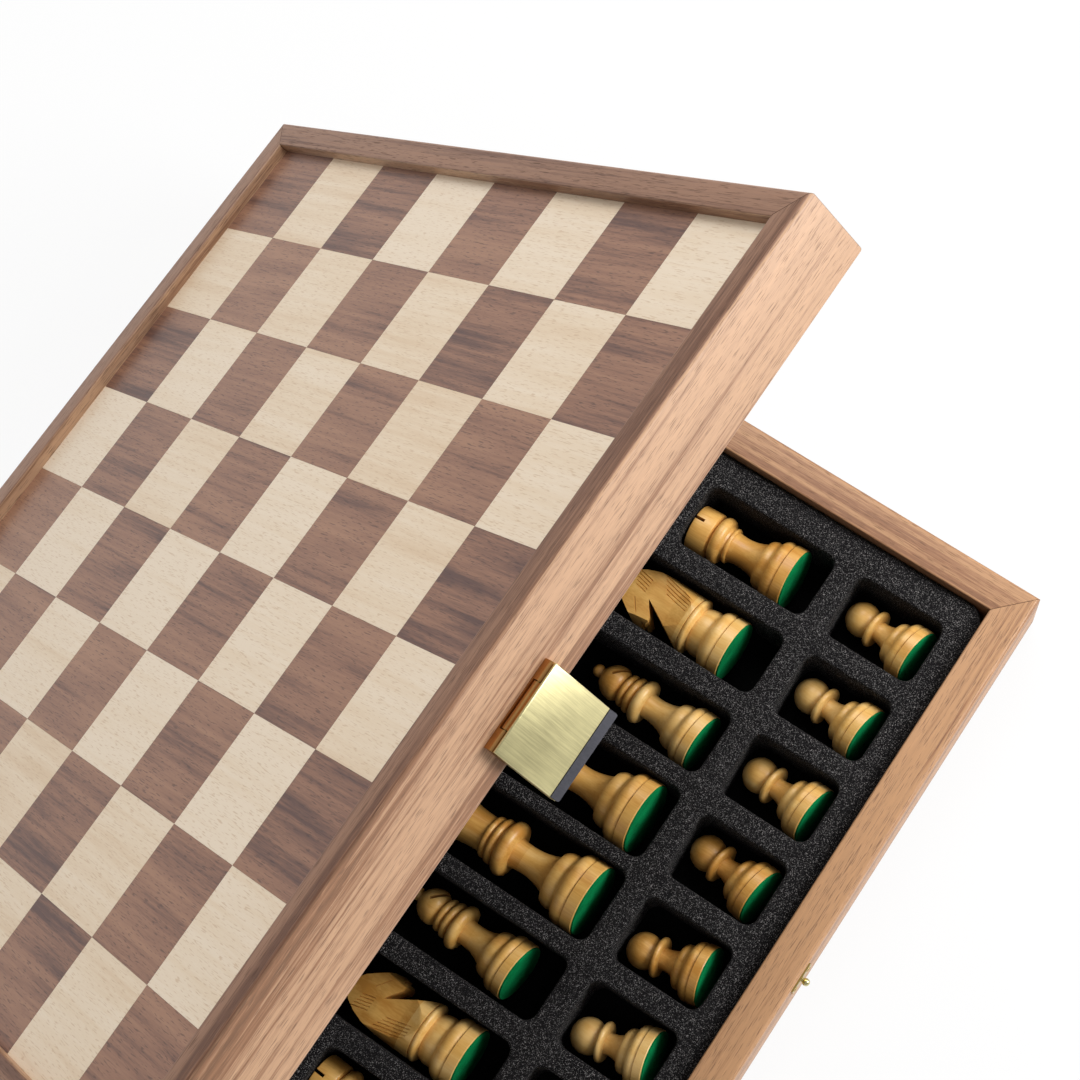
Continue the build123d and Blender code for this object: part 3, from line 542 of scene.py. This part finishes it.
def screws(name, places, normal, place, finish, body, sizes):
    """A group of like screws along one normal, as one piece that replaces the CAD node of its name."""
    made = []
    for spot in places:
        one = screw(**sizes)
        facing = up.rotation_difference(normal).to_matrix().to_4x4()
        turn = facing @ Matrix.Rotation(random.uniform(0, pi), 4, "Z")
        bmesh.ops.transform(one, matrix=Matrix.Translation(spot) @ turn, verts=one.verts)
        made.append(one)
    finished(f"slotted_{name}", joined(*made), finish, body, (name,), place)


countersunk = dict(
    head=2.2 * mm, shank=1.2 * mm, length=10 * mm, dome=0, cone=1.2 * mm,
    slot_width=0.5 * mm, slot_depth=0.4 * mm,
)
round_head = dict(
    head=1.4 * mm, shank=0.7 * mm, length=6 * mm, dome=0.4 * mm, cone=0.1 * mm,
    slot_width=0.35 * mm, slot_depth=0.2 * mm,
)
screw_row = half_side - 6.5 * mm
row_places = [x + step for x in hinge_places for step in (-13 * mm, 0, 13 * mm)]
base_places = [(x, screw_row, base_top) for x in row_places]
lid_places = [(x, screw_row, lid_low) for x in row_places]
screws("hinge_base_screws", base_places, up, None, base_brass, "base", countersunk)
screws("hinge_lid_screws", lid_places, -up, open_lid, lid_brass, "lid", countersunk)
plate_sheet = 0.8 * mm
strike_height = 9.5 * mm
strike_middle = base_top - 3.5 * mm - strike_height / 2
plate_face = -half_side - plate_sheet
screws(
    "strike_screws",
    [(x, plate_face, strike_middle) for x in (-4.9 * mm, 4.9 * mm)],
    outward_of["front"], None, base_brass, "base", round_head,
)
screws(
    "latch_screws",
    [(x, plate_face, lid_low + 4.5 * mm) for x in (-11 * mm, 11 * mm)],
    outward_of["front"], open_lid, lid_brass, "lid", round_head,
)

# Latch flap: a shallow brass pan, open at the back, hung on the latch's pin by a bronzed roll at its top.
# A notch in its lower wall lets in the ball stud when the box is shut. Below the brushed face it ends in
# a flared finger lip of dark grey metal.
latch_axis = Vector((0, -half_side - 2.4 * mm, lid_low + 10.5 * mm))
flap_half = 17 * mm
flap_low = lid_low - 19.5 * mm
face_low = lid_low - 16.5 * mm
flap_high = latch_axis.z + 0.9 * mm
wall_high = latch_axis.z - 2.3 * mm
flap_front = -half_side - 5.6 * mm
flap_back = -half_side - 1.5 * mm
flap_sheet = 0.8 * mm
lip_rise = 1.2 * mm
notch_half = 2.9 * mm
knuckle_half = 9 * mm
knuckle_radius = 1.5 * mm
seam = 0.02 * mm
close = 0.01 * mm
pan = block((-flap_half, flap_front, face_low), (flap_half, flap_front + flap_sheet, flap_high))
rounded(pan, edges_where(pan, lambda co: co.y < flap_front + close), 0.5 * mm, 3)
face_back = flap_front + flap_sheet
sides = [
    block((x - flap_sheet / 2, face_back, flap_low), (x + flap_sheet / 2, flap_back, wall_high))
    for x in (-flap_half + flap_sheet / 2 + seam, flap_half - flap_sheet / 2 - seam)
]
ends = [
    block((low, face_back, flap_low), (high, flap_back, flap_low + flap_sheet))
    for low, high in ((-flap_half + flap_sheet, -notch_half), (notch_half, flap_half - flap_sheet))
]
roll = bmesh.new()
bmesh.ops.create_cone(
    roll, cap_ends=True, segments=40,
    radius1=knuckle_radius, radius2=knuckle_radius, depth=2 * knuckle_half,
    matrix=Matrix.Translation(latch_axis) @ Matrix.Rotation(pi / 2, 4, "Y"),
)
strap = block(
    (-knuckle_half, face_back, latch_axis.z - 0.9 * mm),
    (knuckle_half, latch_axis.y, latch_axis.z + 0.85 * mm),
)
flap_brass = brushed_brass("brushed brass of flap", pale_brass, open_lid, along=2, rough=0.34)
shape = joined(pan, *sides, *ends)
finished("latch_pan", shape, flap_brass, "latch_flap", ("latch_flap",), open_lid)
roll_brass = brushed_brass("bronzed brass of roll", (190, 140, 84), open_lid, along=0)
finished("latch_roll", joined(roll, strap), roll_brass, "latch_flap", (), open_lid)
lip = bmesh.new()
lip_half = flap_half - 0.1 * mm
lip_outline = (
    (face_back, face_low - seam),
    (flap_front + seam, face_low - seam),
    (flap_front - lip_rise, flap_low),
    (face_back, flap_low),
)
face = lip.faces.new([lip.verts.new((-lip_half, y, z)) for y, z in lip_outline])
grown = bmesh.ops.extrude_face_region(lip, geom=[face])
for vert in grown["geom"]:
    if isinstance(vert, bmesh.types.BMVert):
        vert.co.x = lip_half
bmesh.ops.recalc_face_normals(lip, faces=lip.faces)
low_edges = edges_where(lip, lambda co: co.z < flap_low + close)
corners = [edge for edge in low_edges if abs(edge.verts[0].co.x - edge.verts[1].co.x) < mm]
rounded(lip, corners, 0.7 * mm, 3)
# The lip is given a dark grey metallic colour.
lip_dark_metal = brushed_brass("dark grey metal of lip", (84, 84, 90), open_lid, along=2, rough=0.4)
finished("latch_lip", lip, lip_dark_metal, "latch_flap", (), open_lid)

# Chess pieces: turned boxwood, and the same turned in dark stained wood, each with a disc of green felt.
# They lie in their pockets on a side, heads towards the middle, and rest on the plinth and the collar.
felt_sheet = 0.8
turning_steps = 72
arc_steps = 8
pocket_pitch = 41.5


def foot(base, plinth_top, bead_top, step, step_top):
    """Plinth, groove, bead, cove and step, as every piece of the set has them."""
    cove = (base - step) / 2
    return [
        (base - 0.3, felt_sheet, 0),
        (base, felt_sheet + 0.3, 0),
        (base, plinth_top - 0.2, 0),
        (base - 0.2, plinth_top, 0),
        (base - 0.7, plinth_top + 0.2, 0),
        (base - 0.5, plinth_top + 0.7, 0.1),
        (base - cove, bead_top, (bead_top - plinth_top) / 6),
        (step, bead_top + cove, -cove / 5),
        (step - 1.2, step_top, 0.6),
    ]


def stem(low_radius, low, high_radius, high):
    """The concave waist between the step and the collar."""
    return [(low_radius, low, 0), (high_radius, high, -0.09 * (high - low))]


def ring(radius, bottom, top):
    """A turned ring with a half-round edge."""
    edge = (top - bottom) / 2
    return [(radius - edge, bottom, 0), (radius - edge, top, edge * 0.96)]


def ball(radius, middle, neck):
    """A ball on a neck, up to its top."""
    top = middle + radius
    low = middle - sqrt(radius**2 - neck**2)
    half_chord = sqrt((top - low) ** 2 + neck**2) / 2
    return [(neck, low, 0), (0, top, radius - sqrt(radius**2 - half_chord**2))]


outlines = {
    "pawn": [
        *foot(base=13.7, plinth_top=5.0, bead_top=9.6, step=10.0, step_top=14.6),
        *stem(low_radius=6.9, low=14.6, high_radius=4.7, high=22.6),
        *ring(radius=9.1, bottom=22.6, top=25.4),
        *ball(radius=8.1, middle=31.4, neck=5.5),
    ],
    "rook": [
        *foot(base=14.8, plinth_top=6.0, bead_top=11.5, step=11.6, step_top=17.2),
        *stem(low_radius=9.2, low=17.2, high_radius=7.2, high=32.4),
        *ring(radius=8.6, bottom=32.4, top=34.4),
        *ring(radius=11.4, bottom=35.6, top=41.6),
        (10.6, 42.4, 0),
        (10.9, 42.9, 0),
        (10.9, 51.7, 0),
        (10.6, 52.0, 0),
        (7.2, 52.0, 0),
        (7.0, 51.8, 0),
        (7.0, 49.0, 0),
        (0, 49.0, 0),
    ],
    "knight": [
        *foot(base=14.6, plinth_top=6.0, bead_top=12.0, step=11.4, step_top=20.0),
        *ring(radius=13.6, bottom=20.6, top=23.4),
        (10.5, 24.0, 0),
        (0, 24.0, 0),
    ],
    "bishop": [
        *foot(base=13.7, plinth_top=5.2, bead_top=10.0, step=11.0, step_top=16.4),
        *stem(low_radius=8.7, low=16.4, high_radius=5.9, high=30.6),
        *ring(radius=10.7, bottom=30.6, top=35.8),
        *ring(radius=8.9, bottom=36.4, top=40.0),
        *ring(radius=8.1, bottom=40.4, top=43.6),
        (5.6, 44.2, 0),
        (8.2, 48.4, 0.84),
        (2.2, 56.1, 1.54),
        *ball(radius=3.0, middle=58.2, neck=2.2),
    ],
    "queen": [
        *foot(base=16.8, plinth_top=6.3, bead_top=12.6, step=13.2, step_top=19.8),
        *stem(low_radius=9.8, low=19.8, high_radius=6.9, high=39.6),
        *ring(radius=12.7, bottom=39.6, top=46.0),
        *ring(radius=10.9, bottom=46.6, top=50.2),
        *ring(radius=9.9, bottom=50.6, top=53.8),
        (7.2, 54.4, 0),
        (9.8, 67.0, -0.9),
        (8.2, 67.0, 0),
        (3.0, 69.6, 0.6),
        *ball(radius=2.9, middle=71.6, neck=2.2),
    ],
    "king": [
        *foot(base=16.8, plinth_top=6.5, bead_top=13.0, step=13.2, step_top=20.4),
        *stem(low_radius=9.8, low=20.4, high_radius=6.9, high=40.8),
        *ring(radius=13.1, bottom=40.8, top=47.6),
        *ring(radius=11.1, bottom=48.2, top=51.8),
        *ring(radius=10.1, bottom=52.2, top=55.4),
        (8.4, 56.0, 0),
        (10.2, 71.0, -0.5),
        (8.6, 71.0, 0),
        (2.4, 75.4, 1.0),
        (0, 75.4, 0),
    ],
}


def turned(outline):
    """Spins a half outline of stations into a closed shape. A station is its radius, its height and how
    far the line to it bulges out, in millimetres."""
    shape = bmesh.new()
    points = [Vector((0, felt_sheet))]
    for radius, height, bulge in outline:
        start, end = points[-1], Vector((radius, height))
        if bulge:
            chord = (end - start) / 2
            outward = Vector((chord.y, -chord.x)).normalized()
            curve = (chord.length**2 + bulge**2) / (2 * bulge)
            for step in range(1, arc_steps):
                share = 2 * step / arc_steps - 1
                rise = sqrt(curve**2 - (share * chord.length) ** 2) - abs(curve) + abs(bulge)
                points.append(start + chord * (1 + share) + outward * (rise if bulge > 0 else -rise))
        points.append(end)
    verts = [shape.verts.new((radius * mm, 0, height * mm)) for radius, height in points]
    edges = [shape.edges.new(pair) for pair in zip(verts, verts[1:])]
    bmesh.ops.spin(
        shape, geom=edges, cent=(0, 0, 0), axis=up, angle=2 * pi, steps=turning_steps, use_merge=True
    )
    bmesh.ops.remove_doubles(shape, verts=shape.verts, dist=0.005 * mm)
    bmesh.ops.recalc_face_normals(shape, faces=shape.faces)
    return shape


def knife(width, depth, height, centre, turn=0.0, tilt=0.0):
    """A slab that cuts a slot, in millimetres: turned about the piece's axis and tilted."""
    shape = bmesh.new()
    bmesh.ops.create_cube(shape, size=mm)
    turned_to = Matrix.Rotation(turn, 4, "Z") @ Matrix.Rotation(tilt, 4, "Y")
    place = Matrix.Translation(Vector(centre) * mm) @ turned_to
    bmesh.ops.scale(shape, vec=(width, depth, height), verts=shape.verts)
    bmesh.ops.transform(shape, matrix=place, verts=shape.verts)
    return shape


# The horse's head in profile, muzzle towards +x, and from the front as half widths at their heights
horse_profile = (
    (-13.3, 23.3),
    (-13.1, 32.0),
    (-12.5, 40.0),
    (-11.2, 47.0),
    (-9.2, 53.0),
    (-6.6, 58.0),
    (-3.0, 61.8),
    (0.4, 63.8),
    (2.2, 60.6),
    (3.8, 59.4),
    (6.2, 57.4),
    (8.8, 53.6),
    (13.2, 46.6),
    (14.0, 42.8),
    (13.2, 40.6),
    (11.9, 41.3),
    (12.2, 39.4),
    (10.8, 38.4),
    (8.6, 38.9),
    (5.0, 42.0),
    (1.8, 44.2),
    (13.3, 23.3),
)
horse_front = ((13.4, 23.3), (9.4, 33.0), (8.2, 45.0), (6.4, 54.0), (3.4, 64.5))
horse_core = 13.9
mane_lines = 5
mane_step = 1.5
mane_slant = 0.22
mouth_cut = ((4.2, 50.5), (10.2, 45.5))


def prism(outline, half_depth, turn=0.0):
    """A straight block of a given outline in (x, z), turned about the piece's axis. In millimetres."""
    shape = bmesh.new()
    face = shape.faces.new([shape.verts.new((x * mm, -half_depth * mm, z * mm)) for x, z in outline])
    grown = bmesh.ops.extrude_face_region(shape, geom=[face])
    far_side = [vert for vert in grown["geom"] if isinstance(vert, bmesh.types.BMVert)]
    bmesh.ops.translate(shape, vec=(0, 2 * half_depth * mm, 0), verts=far_side)
    bmesh.ops.rotate(shape, cent=(0, 0, 0), matrix=Matrix.Rotation(turn, 3, "Z"), verts=shape.verts)
    bmesh.ops.recalc_face_normals(shape, faces=shape.faces)
    return shape


def gouge(start, end, half_width, depth_at):
    """A V-shaped cut between two points of the profile on both sides of the head, one shape a side. Its
    bottom is depth_at out from the middle at each end, and half_width is its width where it is 0.6 deep."""
    start, end = Vector((start[0], 0, start[1])) * mm, Vector((end[0], 0, end[1])) * mm
    along = (end - start).normalized()
    aside = along.cross(Vector((0, 1, 0))) * half_width * mm
    cuts = []
    for hand in (-1, 1):
        out = Vector((0, hand, 0)) * mm
        shape = bmesh.new()
        ring = []
        for point, deep in ((start, depth_at[0]), (end, depth_at[1])):
            ring.append([
                shape.verts.new(point + out * deep),
                shape.verts.new(point + aside * 4 + out * (deep + 2.4)),
                shape.verts.new(point - aside * 4 + out * (deep + 2.4)),
            ])
        shape.faces.new(ring[0])
        shape.faces.new(reversed(ring[1]))
        for step in range(3):
            following = (step + 1) % 3
            shape.faces.new((ring[0][step], ring[1][step], ring[1][following], ring[0][following]))
        bmesh.ops.recalc_face_normals(shape, faces=shape.faces)
        cuts.append(shape)
    return cuts


def half_width_at(height):
    """Half the head's width at a height, from its front view."""
    for (wide, low), (narrow, high) in zip(horse_front, horse_front[1:]):
        if low <= height <= high:
            return wide + (narrow - wide) * (height - low) / (high - low)
    return horse_front[-1][0]


def horse():
    """The knight's head: turned, sawn to the profile and to the front view, then gouged for the mane."""
    core = bmesh.new()
    bmesh.ops.create_cone(
        core, cap_ends=True, segments=72, radius1=13.4 * mm, radius2=14.4 * mm, depth=41.5 * mm,
        matrix=Matrix.Translation((0, 0, 44.0 * mm)),
    )
    shape = carved(core, prism(horse_profile, 20), "INTERSECT")
    front = [(-wide, height) for wide, height in reversed(horse_front)]
    shape = carved(shape, prism([*horse_front, *front], 20, radians(90)), "INTERSECT")
    cuts = [mouth_cut]
    for line in range(mane_lines):
        strokes = ((-7.4, 26.5, 33), (-8.8, 33, 43.5 - 1.2 * line), (-5.9, 47.5, 56.0 - 0.6 * line))
        for foot_x, bottom, top in strokes:
            low_x = foot_x + mane_step * line
            cuts.append(((low_x - mane_slant * (top - bottom), top), (low_x, bottom)))
    for start, end in cuts:
        deep = [min(half_width_at(height), sqrt(horse_core**2 - x**2)) - 0.5 for x, height in (start, end)]
        for cut in gouge(start, end, 0.3, deep):
            shape = carved(shape, cut)
    return shape


def piece_shape(kind):
    """One kind of piece, standing on the origin."""
    shape = turned(outlines[kind])
    if kind == "rook":
        slots = [knife(30, 1.5, 11, (0, 0, 52.8), turn=radians(angle)) for angle in (9, 99)]
        for slot_knife in slots:
            shape = carved(shape, slot_knife)
    if kind == "bishop":
        shape = carved(shape, knife(24, 40, 1.3, (10.8, 0, 43.1), tilt=radians(38)))
    if kind == "queen":
        for notch in range(9):
            turn = Matrix.Rotation(notch * 2 * pi / 9, 4, "Z")
            tool = bmesh.new()
            bmesh.ops.create_cone(
                tool, cap_ends=True, segments=24, radius1=2 * mm, radius2=2 * mm, depth=3.2 * mm,
                matrix=turn @ Matrix.Translation((9.8 * mm, 0, 67 * mm)),
            )
            shape = carved(shape, tool)
    if kind == "king":
        upright = knife(2.6, 2.6, 13.0, (0, 0, 77.5))
        bar = knife(7.4, 2.6, 2.6, (0, 0, 80.3))
        for limb in (upright, bar):
            rounded(limb, limb.edges, 0.35 * mm, 2)
        shape = joined(shape, upright, bar)
    if kind == "knight":
        shape = joined(shape, horse())
    return shape


def turned_wood(name, pale, mid, deep):
    """Fine close-grained wood under wax: the grain along Y and a tone of its own for each pocket."""
    finish, here = new_finish(name)
    pockets = here.stretched((1 / (pocket_pitch * mm), 17, 0), (0, 0.1, 0))
    cell = pockets.node("ShaderNodeVectorMath", {"operation": "FLOOR"}, {0: pockets})
    luck = cell.node("ShaderNodeTexWhiteNoise", {"noise_dimensions": "3D"}, {"Vector": cell})
    bands = here.stretched((160, 22, 160)).noise(1.0, 2.0)
    fibres = here.stretched((1500, 90, 1500)).noise(1.0, 3.0)
    tone = bands * 0.5 + fibres * 0.25 + luck * 0.25
    colour = tone.node("ShaderNodeValToRGB", {"stops": (
        (0.32, srgb(*deep)),
        (0.5, srgb(*mid)),
        (0.68, srgb(*pale)),
    )}, {"Fac": tone})
    surface(here, colour, 0.34 + fibres * 0.14, fibres, 0.02 * mm, Coat_Weight=0.2, Coat_Roughness=0.22)
    return finish


def green_felt():
    """Pressed green felt with a short nap."""
    finish, here = new_finish("green felt")
    nap = here.noise(2400, 2.0)
    cloud = here.noise(160, 3.0)
    colour = cloud.node("ShaderNodeValToRGB", {"stops": (
        (0.3, srgb(0, 88, 46)),
        (0.7, srgb(2, 132, 74)),
    )}, {"Fac": cloud * 0.5 + nap * 0.5})
    surface(here, colour, 0.9 + nap * 0.08, nap, 0.25 * mm, Specular_IOR_Level=0.1)
    return finish


boxwood = turned_wood("waxed boxwood", (239, 198, 126), (226, 175, 94), (200, 140, 62))
dark_wood = turned_wood("dark stained wood", (86, 52, 36), (64, 36, 25), (46, 25, 18))
felt = green_felt()
back_rank = ("rook", "knight", "bishop", "queen", "king", "bishop", "knight", "rook")
pawn_row = 163.8
rank_row = 108.3
pawn_lean = (7, 7, 6, 8, -10, -12, -8, 6)
rank_lean = (-2, 1, 3.5, -1, -0.8, 4, -1, 2)
pawn_gap = (3.78, 4.0, 3.78, 4.19, 4.19, 4.37, 4.0, 3.78)
rank_gap = (12.74, 17.4, 6.76, 8.51, 7.56, 17.18, 14.0, 12.74)
rest_points = {
    "pawn": (13.7, 5.0, 7.95, 33.0),
    "rook": (14.8, 6.0, 10.9, 52.0),
    "knight": (14.6, 6.0, 13.6, 22.0),
    "bishop": (13.7, 5.2, 10.7, 33.2),
    "queen": (16.8, 6.3, 12.7, 43.0),
    "king": (16.8, 6.5, 13.1, 44.2),
}
pocket_floor = 6.35
lean_share = 0.15


def lying(kind, column_x, felt_y, half, lean):
    """Where a lying piece is: its own +Z runs from the felt to the head."""
    base, plinth_top, radius, height = rest_points[kind]
    tilt = atan((base - radius) / (height - plinth_top))
    yaw = radians(lean)
    axis_height = pocket_floor + base * cos(tilt) + plinth_top * sin(tilt)
    along = Vector((sin(yaw) * cos(tilt), -half * cos(yaw) * cos(tilt), -sin(tilt)))
    sideways = Vector((cos(yaw), half * sin(yaw), 0))
    turn = Matrix((sideways, along.cross(sideways), along)).transposed().to_4x4()
    spot = Vector((column_x - sin(yaw) * height * lean_share, half * felt_y, axis_height))
    return Matrix.Translation(spot * mm) @ turn


kinds = {}
for kind in outlines:
    mesh = bpy.data.meshes.new(kind)
    shape = piece_shape(kind)
    shape.to_mesh(mesh)
    shape.free()
    kinds[kind] = mesh
made = {}
for half, colour in ((-1, "light"), (1, "dark")):
    for column, rank_kind in enumerate(back_rank):
        placed = (
            ("pawn", pawn_row - pawn_gap[column], pawn_lean[column]),
            (rank_kind, rank_row - rank_gap[column], rank_lean[column]),
        )
        for kind, felt_y, lean in placed:
            number = made[colour, kind] = made.get((colour, kind), 0) + 1
            node = f"{colour}_{kind}" if kind in ("queen", "king") else f"{colour}_{kind}_{number}"
            place = lying(kind, ((7 / 2) - column) * pocket_pitch, felt_y, half, lean)
            shape = bmesh.new()
            shape.from_mesh(kinds[kind])
            if kind == "knight" and column < 4:
                half_turn = Matrix.Rotation(pi, 3, "Z")
                bmesh.ops.rotate(shape, cent=(0, 0, 0), matrix=half_turn, verts=shape.verts)
            slot = "boxwood" if colour == "light" else "dark_wood"
            wood = boxwood if colour == "light" else dark_wood
            finished(f"{node}_wood", shape, wood, node, (node,), place)
            disc = bmesh.new()
            felt_radius = (rest_points[kind][0] - 0.5) * mm
            bmesh.ops.create_cone(
                disc, cap_ends=True, segments=48,
                radius1=felt_radius, radius2=felt_radius, depth=felt_sheet * mm,
                matrix=Matrix.Translation((0, 0, felt_sheet * mm / 2)),
            )
            rounded(disc, edges_where(disc, lambda co: co.z < 0.01 * mm), 0.3 * mm, 2)
            finished(f"{node}_felt", disc, felt, node, (), place)

# Floor: a plain white sweep that shows as white to the camera and in gloss, and keeps a faint shadow.
floor_low = -0.3 * mm
shape = bmesh.new()
bmesh.ops.create_grid(shape, x_segments=1, y_segments=1, size=30)
mesh = bpy.data.meshes.new("floor")
shape.to_mesh(mesh)
shape.free()
floor = bpy.data.objects.new("floor", mesh)
floor.location.z = floor_low
bpy.context.scene.collection.objects.link(floor)
white = bpy.data.materials.new("white floor")
white.use_nodes = True
white.node_tree.nodes.clear()
start = Shade(white.node_tree)
rays = start.node("ShaderNodeLightPath", {}, {}, output="Is Camera Ray")
gloss = start.node("ShaderNodeLightPath", {}, {}, output="Is Glossy Ray")
seen = start.maths("MAXIMUM", rays, gloss)
paint = start.node("ShaderNodeBsdfDiffuse", {}, {"Color": (0.85, 0.85, 0.85, 1)})
glow = start.node("ShaderNodeEmission", {}, {"Color": (1, 1, 1, 1), "Strength": 1.0})
mixed = start.node("ShaderNodeMixShader", {}, {0: seen * 0.88, 1: paint, 2: glow})
start.node("ShaderNodeOutputMaterial", {}, {"Surface": mixed})
mesh.materials.append(white)

# Light: a white room, and two large soft lamps: one low in front of the latch side, one over the board.
world = bpy.data.worlds.new("studio")
world.use_nodes = True
world.node_tree.nodes.clear()
start = Shade(world.node_tree)
rays = start.node("ShaderNodeLightPath", {}, {}, output="Is Camera Ray")
room = start.node("ShaderNodeBackground", {}, {"Color": (1, 1, 1, 1), "Strength": 0.42})
paper = start.node("ShaderNodeBackground", {}, {"Color": (1, 1, 1, 1), "Strength": 1.0})
mixed = start.node("ShaderNodeMixShader", {}, {0: rays, 1: room, 2: paper})
start.node("ShaderNodeOutputWorld", {}, {"Surface": mixed})
bpy.context.scene.world = world


def soft_lamp(name, place, aim, size, power):
    lamp = bpy.data.objects.new(name, bpy.data.lights.new(name, "AREA"))
    lamp.data.size = size
    lamp.data.energy = power
    lamp.location = place
    lamp.rotation_euler = (Vector(place) - Vector(aim)).to_track_quat("Z", "Y").to_euler()
    bpy.context.scene.collection.objects.link(lamp)


soft_lamp("front light", (0.74, -1.0, 0.78), (0.1, -0.2, 0.15), 0.72, 17)
soft_lamp("top light", (0.85, 0.35, 1.15), (0.1, 0, 0.25), 0.8, 9)
bpy.context.scene.view_settings.view_transform = "Standard"
